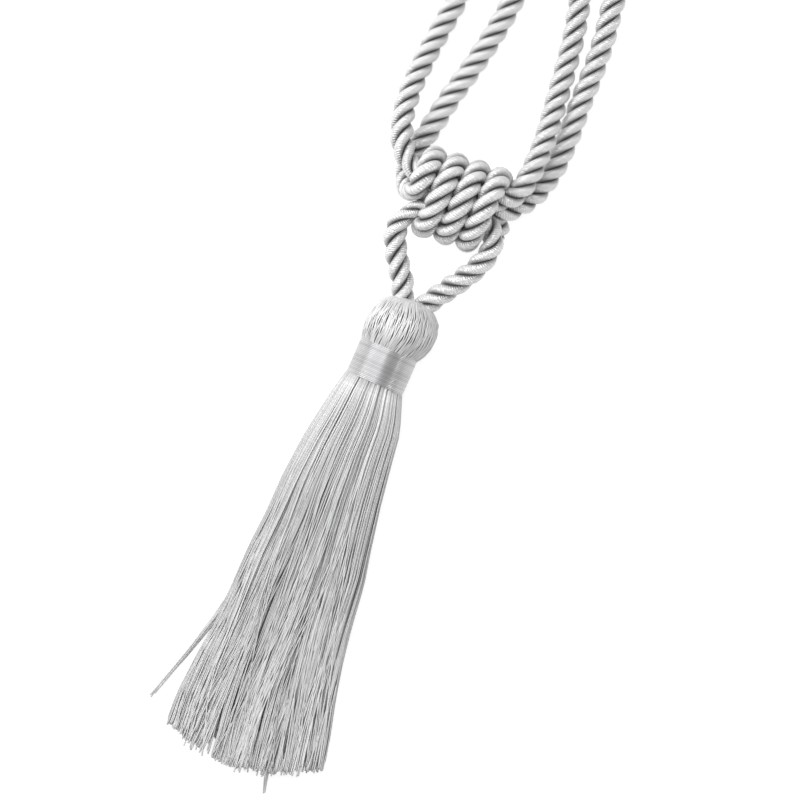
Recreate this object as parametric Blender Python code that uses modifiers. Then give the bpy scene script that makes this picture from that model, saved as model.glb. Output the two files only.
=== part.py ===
"""A curtain tieback: one length of three-strand rope tied in a barrel knot between two long loops, and a
thread tassel that hangs from the knot on a short loop of the same rope. It lies flat on a surface, its
tassel towards -Y and its two arms towards +Y."""

import math

import bmesh
import bpy
import numpy as np
from mathutils import Matrix, Vector

MM = 0.001

# Driving dimensions, in millimetres.
KNOT_AT = (0.16, -18.81)  # the middle of the knot, measured from the middle of the outline
ROPE_ACROSS = 8.4  # the rope's mean outline; its strands' crests stand a little prouder
GAP = 0.3  # left between solids, and between neighbouring turns of the rope
TURN_PITCH = 9.1  # along the knot, from one turn to the next
TURN_LEAN = -0.9  # moves the turns' lower halves along the knot, so they slant more in front than behind
FIRST_TURN_TOP = 12.6  # the right-hand turn's highest point, right of the knot's middle
TAIL_OUT = 4.2  # how far the tail swings out past the first turn
FIRST_TURN, LAST_TURN = -0.40, 3.17  # where the winding starts and ends, in turns
POINTS_PER_TURN = 14
BAND_LONG = 14.9
BAND_OUTER = 12.2
BAND_INNER = 11.0
BAND_HIGH = 13.4
NECK_RADIUS = BAND_INNER - GAP
RING_POINTS = 72  # points round each section of the tassel
SOCKET_DEEP_TO = -53.2  # the bottom of the socket that takes the loop's two ends
SKIRT_END = -243.0
END_BOW = 0.0085  # how the skirt's cut end curves up towards its corners

# Sizes that follow from them.
ON_SURFACE = ROPE_ACROSS / 2
CORE_RADIUS = (ROPE_ACROSS + GAP + 0.05) / math.sqrt(3)  # three runs of rope, each touching the other two
WINDING_RADIUS = CORE_RADIUS + ROPE_ACROSS + GAP + 0.15
KNOT_HIGH = ON_SURFACE + WINDING_RADIUS
FRONT_RUN = KNOT_HIGH + CORE_RADIUS / 2
BACK_RUN = KNOT_HIGH - CORE_RADIUS
RUN_SIDE = CORE_RADIUS * math.sqrt(3) / 2

# The rope's route after the winding, as x, y, z and girth (1 is the full thickness, less is pinched).
# From the last turn, down between the knot's front runs, and round the left arm back into the knot.
LEFT_ARM = (
    (-17.3, 3.3, 31.0, 0.97),
    (-17.8, 0.2, 29.8, 0.90),
    (-18.7, -1.5, 26.4, 0.82),
    (-19.6, -2.0, 22.4, 0.76),
    (-20.3, -2.0, 17.4, 0.78),
    (-21.6, -1.2, 10.8, 0.86),
    (-23.4, 2.0, 6.2, 0.95),
    (-24.2, 6.6, 4.4, 1.0),
    (-23.8, 12.0, ON_SURFACE, 1.0),
    (-22.2, 19.0, ON_SURFACE, 1.0),
    (-19.4, 29.0, ON_SURFACE, 1.0),
    (-16.2, 40.5, ON_SURFACE, 1.0),
    (-12.3, 52.3, ON_SURFACE, 1.0),
    (-7.7, 68.3, ON_SURFACE, 1.0),
    (-4.4, 83.7, ON_SURFACE, 1.0),
    (-3.0, 105.0, ON_SURFACE, 1.0),
    (-3.4, 135.0, ON_SURFACE, 1.0),
    (-5.0, 170.0, ON_SURFACE, 1.0),
    (-5.9, 205.0, ON_SURFACE, 1.0),
    (-5.2, 235.0, ON_SURFACE, 1.0),
    (-5.4, 256.0, ON_SURFACE, 1.0),
    (-10.8, 270.6, ON_SURFACE, 1.0),
    (-24.2, 276.6, ON_SURFACE, 1.0),
    (-37.6, 270.6, ON_SURFACE, 1.0),
    (-43.2, 256.0, ON_SURFACE, 1.0),
    (-42.0, 233.0, ON_SURFACE, 1.0),
    (-37.5, 203.0, ON_SURFACE, 1.0),
    (-31.0, 170.0, ON_SURFACE, 1.0),
    (-26.2, 135.0, ON_SURFACE, 1.0),
    (-24.3, 105.0, ON_SURFACE, 1.0),
    (-25.6, 80.0, 4.4, 1.0),
    (-30.5, 53.8, 6.4, 1.0),
    (-32.4, 38.0, 9.6, 1.0),
    (-31.8, 24.4, 13.4, 1.0),
    (-27.8, 13.4, 17.0, 1.0),
    (-22.4, 7.4, 18.4, 0.88),
    (-16.4, 5.2, 19.8, 0.87),
    (-8.0, RUN_SIDE, FRONT_RUN, 0.98),
)
# Through the knot, round the right arm, and back into the knot, where the rope's other end is tucked.
RIGHT_ARM = (
    (0.0, RUN_SIDE, FRONT_RUN, 0.98),
    (7.6, RUN_SIDE, FRONT_RUN, 0.98),
    (13.4, 4.9, 20.6, 0.95),
    (19.4, 8.4, 19.4, 0.95),
    (22.6, 15.6, 17.6, 1.0),
    (24.2, 26.0, 14.6, 1.0),
    (24.9, 38.0, 10.8, 1.0),
    (24.6, 50.5, 7.2, 1.0),
    (24.2, 63.8, 5.2, 1.0),
    (23.4, 78.1, 4.3, 1.0),
    (21.6, 91.8, ON_SURFACE, 1.0),
    (19.8, 112.0, ON_SURFACE, 1.0),
    (19.2, 140.0, ON_SURFACE, 1.0),
    (19.0, 172.0, ON_SURFACE, 1.0),
    (17.9, 205.0, ON_SURFACE, 1.0),
    (16.8, 230.0, ON_SURFACE, 1.0),
    (17.2, 249.0, ON_SURFACE, 1.0),
    (22.8, 262.8, ON_SURFACE, 1.0),
    (36.2, 268.4, ON_SURFACE, 1.0),
    (49.4, 262.4, ON_SURFACE, 1.0),
    (54.8, 248.0, ON_SURFACE, 1.0),
    (53.4, 216.0, ON_SURFACE, 1.0),
    (48.0, 183.0, ON_SURFACE, 1.0),
    (41.5, 150.0, ON_SURFACE, 1.0),
    (36.2, 118.0, ON_SURFACE, 1.0),
    (34.6, 95.7, ON_SURFACE, 1.0),
    (35.4, 81.9, ON_SURFACE, 1.0),
    (35.2, 67.2, ON_SURFACE, 1.0),
    (34.2, 52.5, ON_SURFACE, 1.0),
    (33.6, 37.8, ON_SURFACE, 1.0),
    (31.6, 23.4, 4.9, 1.0),
    (27.8, 12.8, 7.4, 1.0),
    (22.4, 5.4, 10.8, 0.95),
    (16.4, 1.0, 13.2, 0.95),
    (10.0, 0.0, BACK_RUN, 0.98),
    (2.0, 0.0, BACK_RUN, 0.98),
    (-6.0, 0.0, BACK_RUN, 0.98),
)
# The tassel's hanging loop, from its end inside the tassel's head, through the knot and back.
HANGING_LOOP = (
    (-11.6, -52.5, 15.0, 1.0),
    (-10.5, -43.5, 15.0, 1.0),
    (-12.4, -37.5, 15.4, 1.0),
    (-16.4, -30.5, 16.4, 1.0),
    (-19.6, -24.0, 18.0, 1.0),
    (-21.2, -17.6, 19.6, 1.0),
    (-20.4, -13.8, 20.6, 0.90),
    (-17.6, -9.9, 20.8, 0.77),
    (-14.6, -6.7, 20.6, 0.78),
    (-10.8, -4.9, 20.5, 0.88),
    (-4.0, -RUN_SIDE, FRONT_RUN, 0.98),
    (3.0, -RUN_SIDE, FRONT_RUN, 0.98),
    (9.4, -RUN_SIDE, FRONT_RUN, 0.98),
    (14.6, -6.8, 21.4, 0.93),
    (17.4, -12.8, 23.2, 0.91),
    (15.6, -20.0, 23.4, 0.96),
    (10.2, -28.8, 20.8, 1.0),
    (3.6, -37.2, 17.0, 1.0),
    (-1.0, -43.6, 15.2, 1.0),
    (-2.2, -52.5, 15.0, 1.0),
)

# Sections of the tassel from the crown of its head to its cut end: the centre's x and y, how far the
# section is turned, its half width, the height where it is widest, its underside, its top, and how
# squarely its lower half is pressed flat.
# x, y, turned (degrees), half width, widest at, underside, top, flatness
HEAD = (
    (-6.6, -43.0, 0.0, 4.5, 15.0, 10.5, 19.5, 1.0),
    (-7.0, -44.2, 0.0, 8.6, 15.0, 6.4, 23.6, 1.0),
    (-7.2, -46.4, 0.0, 11.4, 14.8, 3.2, 26.2, 1.0),
    (-7.0, -50.0, 2.0, 13.7, 14.5, 0.7, 28.2, 1.0),
    (-7.2, -54.5, 1.0, 14.6, 14.4, 0.0, 29.0, 1.03),
    (-7.7, -59.0, -2.0, 14.3, 14.2, 0.0, 28.5, 1.03),
    (-8.6, -62.2, -5.0, 13.4, 13.8, 0.3, 27.1, 1.0),
    (-9.3, -64.3, -6.5, 12.2, BAND_HIGH, 1.2, 25.6, 1.0),
)
SKIRT = (
    (-11.2, -80.1, -6.5, 12.2, 13.3, 1.1, 25.5, 1.0),
    (-11.3, -84.5, -6.0, 13.4, 12.8, 0.4, 25.6, 1.05),
    (-11.5, -93.7, -5.0, 15.9, 11.5, 0.0, 24.6, 1.2),
    (-13.3, -109.0, -3.0, 18.2, 9.6, 0.0, 22.4, 1.4),
    (-14.4, -125.0, -2.0, 20.1, 8.2, 0.0, 20.2, 1.55),
    (-14.7, -142.5, -2.0, 21.9, 7.2, 0.0, 18.0, 1.65),
    (-15.1, -157.0, -1.0, 23.9, 6.4, 0.0, 16.4, 1.7),
    (-15.8, -175.0, -1.0, 25.1, 5.8, 0.0, 14.8, 1.75),
    (-16.3, -190.0, 0.0, 26.5, 5.2, 0.0, 13.6, 1.8),
    (-17.1, -206.0, 0.0, 29.0, 4.8, 0.0, 12.6, 1.8),
    (-17.2, -221.0, 0.0, 31.4, 4.4, 0.0, 11.8, 1.8),
    (-16.6, SKIRT_END, 0.0, 33.2, 4.2, 0.0, 11.2, 1.8),
)
# Gaps between the locks of thread at the cut end: x of the gap's mouth, how deep it is, how wide.
LOCK_GAPS = (
    (-41.5, 12.0, 2.4),
    (-34.8, 9.0, 1.8),
    (-27.6, 15.0, 2.6),
    (-20.9, 8.0, 1.6),
    (-14.2, 13.0, 2.2),
    (-8.1, 7.0, 1.6),
    (-1.3, 16.0, 2.6),
    (5.4, 9.0, 1.8),
    (11.0, 12.0, 2.0),
)
# A stray lock that leaves the skirt's left side: x, y, z, radius.
STRAY_LOCK = (
    (-35.5, -168.0, 5.0, 1.7),
    (-42.6, -186.0, 3.6, 1.5),
    (-49.4, -204.0, 2.4, 1.3),
    (-54.9, -217.5, 1.7, 1.1),
    (-59.2, -228.0, 1.3, 0.9),
)

SILVER = (0.62, 0.62, 0.63)


def clear_scene():
    for obj in list(bpy.data.objects):
        bpy.data.objects.remove(obj, do_unlink=True)


def new_collection(name):
    collection = bpy.data.collections.new(name)
    bpy.context.scene.collection.children.link(collection)
    return collection


def satin(name, colour, roughness):
    """A plain satin thread finish."""
    material = bpy.data.materials.new(name)
    material.use_nodes = True
    shader = material.node_tree.nodes["Principled BSDF"]
    shader.inputs["Base Color"].default_value = (*colour, 1.0)
    shader.inputs["Roughness"].default_value = roughness
    shader.inputs["Metallic"].default_value = 0.0
    return material


def placed(point):
    """A point given from the knot's middle, as metres in the object's own frame."""
    x, y, z = point[:3]
    return Vector((x + KNOT_AT[0], y + KNOT_AT[1], z)) * MM


def winding_point(turn):
    """The rope's middle after this many turns: 0 is the right-hand turn's top, and it runs down the front."""
    angle = 2 * math.pi * turn
    x = FIRST_TURN_TOP - TURN_PITCH * turn + TURN_LEAN * math.sin(angle / 2) ** 2
    x += TAIL_OUT * max(turn / FIRST_TURN, 0.0) ** 1.5
    y = WINDING_RADIUS * math.cos(angle)
    z = KNOT_HIGH + WINDING_RADIUS * math.sin(angle)
    return (x, y, z, 1.0)


def winding():
    count = round((LAST_TURN - FIRST_TURN) * POINTS_PER_TURN)
    return tuple(winding_point(turn) for turn in np.linspace(FIRST_TURN, LAST_TURN, count))


def smooth_route(points, step=1.0):
    """Points every step along one smooth curve through a route's own points."""
    route = np.array(points, float)
    span = np.linalg.norm(np.diff(route[:, :3], axis=0), axis=1)
    start = np.concatenate([[0.0], np.cumsum(span)])
    slope = np.diff(route, axis=0) / span[:, None]
    before, after = span[:-1, None], span[1:, None]
    tangent = np.empty_like(route)
    tangent[0], tangent[-1] = slope[0], slope[-1]
    tangent[1:-1] = (slope[:-1] * after + slope[1:] * before) / (before + after)
    along = np.linspace(0.0, start[-1], int(start[-1] / step) + 1)
    i = np.clip(np.searchsorted(start, along, side="right") - 1, 0, len(span) - 1)
    length = span[i][:, None]
    t = (along - start[i])[:, None] / length
    return (
        (2 * t**3 - 3 * t**2 + 1) * route[i]
        + (t**3 - 2 * t**2 + t) * length * tangent[i]
        + (3 * t**2 - 2 * t**3) * route[i + 1]
        + (t**3 - t**2) * length * tangent[i + 1]
    )


def thinned(fine, most_turn=17.0, most_span=21.0):
    """The fewest of a fine route's points that turn at most most_turn degrees and span most_span apart."""
    direction = np.diff(fine[:, :3], axis=0)
    direction /= np.linalg.norm(direction, axis=1)[:, None]
    bend = np.degrees(np.arccos(np.clip((direction[:-1] * direction[1:]).sum(axis=1), -1, 1)))
    kept, turned, spanned = [0], 0.0, 0.0
    for i in range(1, len(fine) - 1):
        turned += bend[i - 1]
        spanned += np.linalg.norm(fine[i, :3] - fine[i - 1, :3])
        if turned >= most_turn or spanned >= most_span:
            kept.append(i)
            turned, spanned = 0.0, 0.0
    return fine[kept + [len(fine) - 1]]


def tube(name, route, radius, bevel_resolution, collection, material):
    """A closed tube along a route of x, y, z and girth."""
    curve = bpy.data.curves.new(name, "CURVE")
    curve.dimensions = "3D"
    curve.bevel_depth = radius * MM
    curve.bevel_resolution = bevel_resolution
    curve.use_fill_caps = True
    spline = curve.splines.new("POLY")
    spline.points.add(len(route) - 1)
    for point, row in zip(spline.points, route):
        point.co = (*placed(row), 1.0)
        point.radius = row[3]
    spline.use_smooth = True
    obj = bpy.data.objects.new(name, curve)
    obj.data.materials.append(material)
    collection.objects.link(obj)
    return obj


def as_mesh(obj, collection, material):
    """The curve object made a welded mesh object of the same name."""
    name = obj.name
    obj.name = name + "_curve"
    bpy.context.view_layer.update()
    evaluated = obj.evaluated_get(bpy.context.evaluated_depsgraph_get())
    mesh = bpy.data.meshes.new_from_object(evaluated)
    weld = bmesh.new()
    weld.from_mesh(mesh)
    bmesh.ops.remove_doubles(weld, verts=weld.verts, dist=0.00001)
    bmesh.ops.recalc_face_normals(weld, faces=weld.faces)
    weld.to_mesh(mesh)
    weld.free()
    solid = bpy.data.objects.new(name, mesh)
    solid.matrix_world = obj.matrix_world
    solid.data.materials.clear()
    solid.data.materials.append(material)
    collection.objects.link(solid)
    bpy.data.objects.remove(obj)
    return solid


def combine(target, other, operation):
    """A Boolean of another object with this one; the other is left as a hidden guide."""
    modifier = target.modifiers.new(other.name, "BOOLEAN")
    modifier.operation = operation
    modifier.object = other
    modifier.solver = "EXACT"
    other.hide_render = True
    other.display_type = "WIRE"


def neck_rows():
    """The drawn-in stretch under the band, a straight round neck."""
    first, last = HEAD[-1], SKIRT[0]
    round_neck = (NECK_RADIUS, BAND_HIGH, BAND_HIGH - NECK_RADIUS, BAND_HIGH + NECK_RADIUS, 1.0)
    return (
        (first[0], first[1], first[2], *round_neck),
        (last[0], last[1], last[2], *round_neck),
    )


def section(row, fluting):
    """One ring of points round the tassel."""
    x, y, turned, half_width, widest, underside, top, flatness = row
    angle = np.linspace(0.0, 2 * math.pi, RING_POINTS, endpoint=False)
    flutes = np.sin(9 * angle + 0.6) + 0.7 * np.sin(14 * angle + 2.0)
    above = np.clip(np.sin(angle) * 3, 0.0, 1.0)
    swell = 1.0 + fluting * flutes * above / half_width
    across = half_width * np.cos(angle) * swell
    up = widest + (top - widest) * np.sin(angle) * swell
    down = widest + (widest - underside) * np.maximum(np.sin(angle) * flatness, -1.0)
    height = np.where(np.sin(angle) > 0, up, down)
    lean = math.radians(turned)
    ring_x = x + across * math.cos(lean)
    ring_y = y + across * math.sin(lean)
    if y == SKIRT_END:
        ring_y += END_BOW * (ring_x - x) ** 2
    return np.stack([ring_x, ring_y, height], axis=1)


def loft(name, rings, collection, material):
    """A closed skin through rings of points, with a fan of faces over each end."""
    bm = bmesh.new()
    loops = [[bm.verts.new(placed(p)) for p in ring] for ring in rings]
    for near, far in zip(loops, loops[1:]):
        for i in range(RING_POINTS):
            j = (i + 1) % RING_POINTS
            bm.faces.new((near[i], near[j], far[j], far[i]))
    for ring, loop in ((rings[0], loops[0]), (rings[-1], loops[-1])):
        hub = bm.verts.new(placed(ring.mean(axis=0)))
        for i in range(RING_POINTS):
            bm.faces.new((loop[i], loop[(i + 1) % RING_POINTS], hub))
    bmesh.ops.recalc_face_normals(bm, faces=bm.faces)
    mesh = bpy.data.meshes.new(name)
    bm.to_mesh(mesh)
    bm.free()
    obj = bpy.data.objects.new(name, mesh)
    obj.data.materials.append(material)
    collection.objects.link(obj)
    mesh.shade_smooth()
    mesh.set_sharp_from_angle(angle=math.radians(40))
    return obj


def lock_gap_cutter(collection, material):
    """Wedges that part the skirt's cut end into locks of thread."""
    bm = bmesh.new()
    for mouth, deep, wide in LOCK_GAPS:
        end_y = SKIRT_END + END_BOW * (mouth - SKIRT[-1][0]) ** 2
        fan = (mouth - SKIRT[0][0]) / (end_y - SKIRT[0][1])
        corners = (
            (mouth - wide / 2 - fan * 4.0, end_y - 4.0),
            (mouth + wide / 2 - fan * 4.0, end_y - 4.0),
            (mouth + fan * deep, end_y + deep),
        )
        wedge = bm.faces.new([bm.verts.new(placed((x, y, -1.0))) for x, y in corners])
        grown = bmesh.ops.extrude_face_region(bm, geom=[wedge])
        lifted = [v for v in grown["geom"] if isinstance(v, bmesh.types.BMVert)]
        bmesh.ops.translate(bm, verts=lifted, vec=(0, 0, 16.0 * MM))
    bmesh.ops.recalc_face_normals(bm, faces=bm.faces)
    mesh = bpy.data.meshes.new("lock_gaps")
    bm.to_mesh(mesh)
    bm.free()
    obj = bpy.data.objects.new("lock_gaps", mesh)
    obj.data.materials.append(material)
    collection.objects.link(obj)
    return obj


def socket_cutters(collection, material):
    """One clearance bore for each end of the hanging loop, from outside the head to the socket's bottom."""
    loop = smooth_route(HANGING_LOOP)
    ends = (loop[loop[:, 1] < -36.0][: 17], loop[loop[:, 1] < -36.0][-17:][::-1])
    bores = []
    for side, route in zip(("left", "right"), ends):
        bore = thinned(np.array(route), most_span=4.0).copy()
        bore[0, 1] = SOCKET_DEEP_TO
        bore[:, 3] = 1.0
        made = tube(f"{side}_socket", bore, ROPE_ACROSS / 2 + GAP, 4, collection, material)
        bores.append(as_mesh(made, collection, material))
    return bores


def tassel(parts, cutters, material):
    rows = HEAD + neck_rows() + SKIRT
    neck = len(HEAD)
    depth = [0.0] * (neck + 2) + list(np.linspace(0.0, 0.75, len(SKIRT)))
    rings = [section(row, fluting) for row, fluting in zip(rows, depth)]
    body = loft("tassel", rings, parts, material)
    stray = np.array(STRAY_LOCK)
    stray_route = smooth_route(stray, step=8.0)
    stray_curve = tube("stray_lock", stray_route, 1.0, 2, cutters, material)
    combine(body, as_mesh(stray_curve, cutters, material), "UNION")
    combine(body, lock_gap_cutter(cutters, material), "DIFFERENCE")
    for bore in socket_cutters(cutters, material):
        combine(body, bore, "DIFFERENCE")
    return body


def neck_band(parts, material):
    """The wound band: a turned ring with rounded edges, laid along the tassel's neck."""
    half, edge = BAND_LONG / 2, 0.4
    profile = (
        (BAND_INNER, half),
        (BAND_OUTER - edge, half),
        (BAND_OUTER, half - edge),
        (BAND_OUTER, -half + edge),
        (BAND_OUTER - edge, -half),
        (BAND_INNER, -half),
    )
    bm = bmesh.new()
    corners = [bm.verts.new((r * MM, 0.0, z * MM)) for r, z in profile]
    for i, corner in enumerate(corners):
        bm.edges.new((corner, corners[(i + 1) % len(corners)]))
    mesh = bpy.data.meshes.new("neck_band")
    bm.to_mesh(mesh)
    bm.free()
    obj = bpy.data.objects.new("neck_band", mesh)
    obj.data.materials.append(material)
    parts.objects.link(obj)
    turn = obj.modifiers.new("turned", "SCREW")
    turn.steps = turn.render_steps = 48
    turn.use_merge_vertices = True
    turn.merge_threshold = 0.00001
    first, last = HEAD[-1], SKIRT[0]
    middle = ((first[0] + last[0]) / 2, (first[1] + last[1]) / 2, BAND_HIGH)
    obj.location = placed(middle)
    along = Vector((last[0] - first[0], last[1] - first[1], 0.0)).normalized()
    obj.rotation_euler = along.to_track_quat("Z", "Y").to_euler()
    return obj


def main():
    clear_scene()
    parts = new_collection("curtain_tieback_tassel")
    cutters = new_collection("cutters")
    rope_satin = satin("rope_satin", SILVER, 0.38)
    thread_satin = satin("thread_satin", SILVER, 0.45)
    band_satin = satin("band_satin", SILVER, 0.32)
    rope_route = thinned(smooth_route(winding() + LEFT_ARM + RIGHT_ARM))
    loop_route = thinned(smooth_route(HANGING_LOOP))
    tube("rope", rope_route, ROPE_ACROSS / 2, 4, parts, rope_satin)
    tube("hanging_loop", loop_route, ROPE_ACROSS / 2, 4, parts, rope_satin)
    tassel(parts, cutters, thread_satin)
    neck_band(parts, band_satin)
    print("rope points", len(rope_route), "loop points", len(loop_route))


main()
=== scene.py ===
# %% [markdown]
# # A curtain tieback: twisted rope, a barrel knot and a thread tassel
#
# A tieback is the rope that holds an open curtain back against the wall. This one is a single length of
# three-strand satin rope, tied in a barrel knot between two long loops. A tassel hangs from the knot on a
# short loop of the same rope. It lies on a pale surface, seen from straight above.
#
# The solid model gives the true place and size of every piece. Here each plain solid is replaced by what
# the piece is really made of: strands, wound thread and loose thread.

# %% Load the solid model
import math

import bpy
import numpy as np
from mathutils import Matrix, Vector


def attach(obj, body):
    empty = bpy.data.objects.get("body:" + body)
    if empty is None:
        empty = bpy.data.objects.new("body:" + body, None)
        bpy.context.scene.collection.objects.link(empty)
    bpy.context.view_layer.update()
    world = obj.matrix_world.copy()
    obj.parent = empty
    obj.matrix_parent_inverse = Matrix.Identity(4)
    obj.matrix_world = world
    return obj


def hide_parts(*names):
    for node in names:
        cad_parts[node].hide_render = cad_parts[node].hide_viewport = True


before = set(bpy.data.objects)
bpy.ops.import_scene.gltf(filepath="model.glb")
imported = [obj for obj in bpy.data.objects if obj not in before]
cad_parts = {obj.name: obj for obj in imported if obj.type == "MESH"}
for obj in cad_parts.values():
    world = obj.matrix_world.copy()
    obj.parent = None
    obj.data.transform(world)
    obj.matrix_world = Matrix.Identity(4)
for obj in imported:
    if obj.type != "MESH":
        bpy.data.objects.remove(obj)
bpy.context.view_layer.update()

# %% [markdown]
# ## Working in millimetres from the knot
#
# Every measure of a tieback is a few millimetres, so the numbers below are millimetres counted from the
# middle of the knot. One helper turns them into the scene's metres.

# %% Millimetres from the knot's middle
MM = 0.001
KNOT_AT = (0.16, -18.81)  # where the knot's middle is, from the middle of the outline


def placed(points):
    """Points in millimetres from the knot's middle, as metres in the scene."""
    return (np.asarray(points, float)[..., :3] + (*KNOT_AT, 0.0)) * MM


print("knot's middle, in metres:", placed((0, 0, 0)).round(5))

# %% [markdown]
# ## The camera
#
# The tieback is looked at from straight above, turned a little, as if it had been dropped on a table. A
# long lens from well above keeps the knot, which stands highest, from looking too large.

# %% Camera
CAMERA_TURN = 17.5  # degrees
CAMERA_HIGH = 1.5
TASSEL_MIDDLE = 0.012  # how high the tassel's middle lies
VIEW_WIDE = 0.320  # what the picture spans at that height
VIEW_AT = (0.8, -82.4, 0)  # millimetres from the knot's middle
SENSOR_WIDE = 36

camera_data = bpy.data.cameras.new("camera")
camera_data.sensor_width = SENSOR_WIDE
camera_data.lens = SENSOR_WIDE * (CAMERA_HIGH - TASSEL_MIDDLE) / VIEW_WIDE
camera_data.clip_end = 20
camera = bpy.data.objects.new("camera", camera_data)
camera.location = (*placed(VIEW_AT)[:2], CAMERA_HIGH)
camera.rotation_euler = (0, 0, math.radians(CAMERA_TURN))
bpy.context.scene.collection.objects.link(camera)
bpy.context.scene.camera = camera
print("camera over", np.round(camera.location, 3), "lens", round(camera_data.lens, 1))

# %% [markdown]
# ## The rope's way through the knot
#
# A knot made by guesswork runs through itself. This route keeps the rope's real thickness clear all the
# way: three runs of rope lie together in the core, the winding goes round them, and the rope then dives
# between two of the runs to come out behind. Each row is a place the rope passes, with its girth: 1 is full
# thickness, and less is where it is pinched between its neighbours.

# %% Sizes of the knot
SOLID_ACROSS = 8.4  # the plain solid's rope
ON_SURFACE = SOLID_ACROSS / 2  # how high its middle line lies
RUN_GAP = 0.35  # between neighbouring runs in the core
WINDING_GAP = 0.45  # between the core and the winding
CORE_RADIUS = (SOLID_ACROSS + RUN_GAP) / math.sqrt(3)
WINDING_RADIUS = CORE_RADIUS + SOLID_ACROSS + WINDING_GAP
KNOT_HIGH = ON_SURFACE + WINDING_RADIUS
FRONT_RUN, BACK_RUN = KNOT_HIGH + CORE_RADIUS / 2, KNOT_HIGH - CORE_RADIUS
RUN_SIDE = CORE_RADIUS * math.sqrt(3) / 2

print("core's runs, mm high:", round(BACK_RUN, 1), "and", round(FRONT_RUN, 1))

# %% The barrel knot's winding
FIRST_TURN, LAST_TURN = -0.40, 3.17
TURN_POINTS = 50
PITCH = 9.1
FIRST_TOP = 12.6  # how far right of the middle the first turn is, on the arms' side
LEAN = -0.9  # how much each turn leans to the left on the tassel's side
TAIL_OUT = 4.2  # how far the tucked tail swings out to the right


def winding():
    """The turns of the barrel knot, from the tucked tail at the right to the last turn at the left."""
    turn = np.linspace(FIRST_TURN, LAST_TURN, TURN_POINTS)
    angle = 2 * math.pi * turn
    x = FIRST_TOP - PITCH * turn + LEAN * np.sin(angle / 2) ** 2
    x += TAIL_OUT * np.maximum(turn / FIRST_TURN, 0.0) ** 1.5
    y = WINDING_RADIUS * np.cos(angle)
    z = KNOT_HIGH + WINDING_RADIUS * np.sin(angle)
    return np.stack([x, y, z, np.ones_like(x)], axis=1)


print("knot across, mm:", round(2 * (WINDING_RADIUS + ON_SURFACE), 1), "middle at", round(KNOT_HIGH, 1))

# %% The left arm, from the winding's last turn out to its loop's end and back into the core
LEFT_ARM = (  # x, y, height, girth
    (-17.3, 3.3, 31.0, 0.97),
    (-17.8, 0.2, 29.8, 0.90),
    (-18.7, -1.5, 26.4, 0.82),
    (-19.6, -2.0, 22.4, 0.76),
    (-20.3, -2.0, 17.4, 0.78),
    (-21.6, -1.2, 10.8, 0.86),
    (-23.4, 2.0, 6.2, 0.95),
    (-24.2, 6.6, 4.4, 1.0),
    (-23.8, 12.0, ON_SURFACE, 1.0),
    (-22.2, 19.0, ON_SURFACE, 1.0),
    (-19.4, 29.0, ON_SURFACE, 1.0),
    (-16.2, 40.5, ON_SURFACE, 1.0),
    (-12.3, 52.3, ON_SURFACE, 1.0),
    (-7.7, 68.3, ON_SURFACE, 1.0),
    (-4.4, 83.7, ON_SURFACE, 1.0),
    (-3.0, 105.0, ON_SURFACE, 1.0),
    (-3.4, 135.0, ON_SURFACE, 1.0),
    (-5.0, 170.0, ON_SURFACE, 1.0),
    (-5.9, 205.0, ON_SURFACE, 1.0),
    (-5.2, 235.0, ON_SURFACE, 1.0),
    (-5.4, 256.0, ON_SURFACE, 1.0),
    (-10.8, 270.6, ON_SURFACE, 1.0),
    (-24.2, 276.6, ON_SURFACE, 1.0),
    (-37.6, 270.6, ON_SURFACE, 1.0),
    (-43.2, 256.0, ON_SURFACE, 1.0),
    (-42.0, 233.0, ON_SURFACE, 1.0),
    (-37.5, 203.0, ON_SURFACE, 1.0),
    (-31.0, 170.0, ON_SURFACE, 1.0),
    (-26.2, 135.0, ON_SURFACE, 1.0),
    (-24.3, 105.0, ON_SURFACE, 1.0),
    (-25.6, 80.0, 4.4, 1.0),
    (-30.5, 53.8, 6.4, 1.0),
    (-32.4, 38.0, 9.6, 1.0),
    (-31.8, 24.4, 13.4, 1.0),
    (-27.8, 13.4, 17.0, 1.0),
    (-22.4, 7.4, 18.4, 0.88),
    (-16.4, 5.2, 19.8, 0.87),
    (-8.0, RUN_SIDE, FRONT_RUN, 0.98),
)
print("left arm:", len(LEFT_ARM), "places, out to", max(place[1] for place in LEFT_ARM), "mm")

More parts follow.
